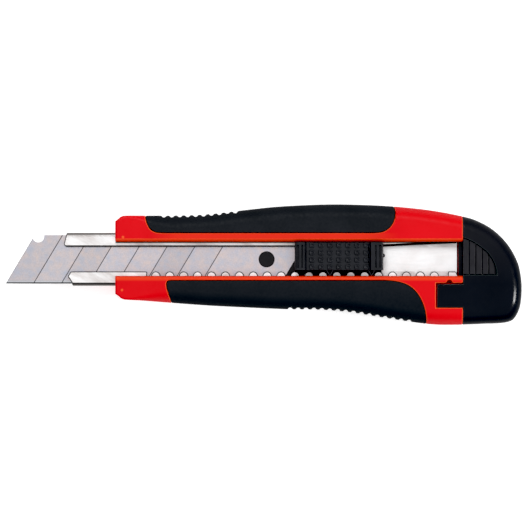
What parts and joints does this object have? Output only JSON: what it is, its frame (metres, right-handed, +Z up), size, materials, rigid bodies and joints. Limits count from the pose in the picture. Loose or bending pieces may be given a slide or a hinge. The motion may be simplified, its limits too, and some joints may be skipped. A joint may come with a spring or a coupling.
{
  "type": "snap-off utility knife",
  "caption": "Snap-off utility knife with a segmented blade in a steel channel, a thumb slider that locks in teeth, soft grips on the handle and a pull-off end cap.",
  "frame": {"origin": "on the flat back of the handle, which the knife lies on, half-way along the handle and on the centre line of the blade", "axes": "+X along the knife towards the end cap, so the blade's tip points to -X; +Y across it, away from the cutting edge; +Z up from the back of the handle towards the thumb slider"},
  "size_m": [0.1916, 0.0447, 0.0167],
  "materials": {
    "body_plastic": "satin red ABS",
    "soft_grip": "fine matt texture",
    "channel_steel": "bright nickel-plated sheet",
    "blade_steel": "ground carbon steel with a thin film of oil",
    "carrier_plastic": "moulded",
    "slider_plastic": "moulded, satin",
    "spring_steel": "blued spring strip",
    "cap_plastic": "polished"
  },
  "bodies": {
    "handle": {"housing": "body_plastic", "upper_grip": "soft_grip", "lower_grip": "soft_grip", "blade_channel": "channel_steel"},
    "slider": {"thumb_slider": "slider_plastic", "blade_carrier": "carrier_plastic", "lock_spring": "spring_steel", "blade": "blade_steel"},
    "cap": {"end_cap": "cap_plastic"}
  },
  "joints": [
    {"name": "slider_slide", "type": "slide", "parent": "handle", "child": "slider", "axis": [-1, 0, 0], "range_m": [-0.02585, 0.06721], "deforming": ["lock_spring"]},
    {"name": "cap_pull", "type": "slide", "parent": "handle", "child": "cap", "axis": [1, 0, 0], "range_m": [0, 0.025]}
  ]
}
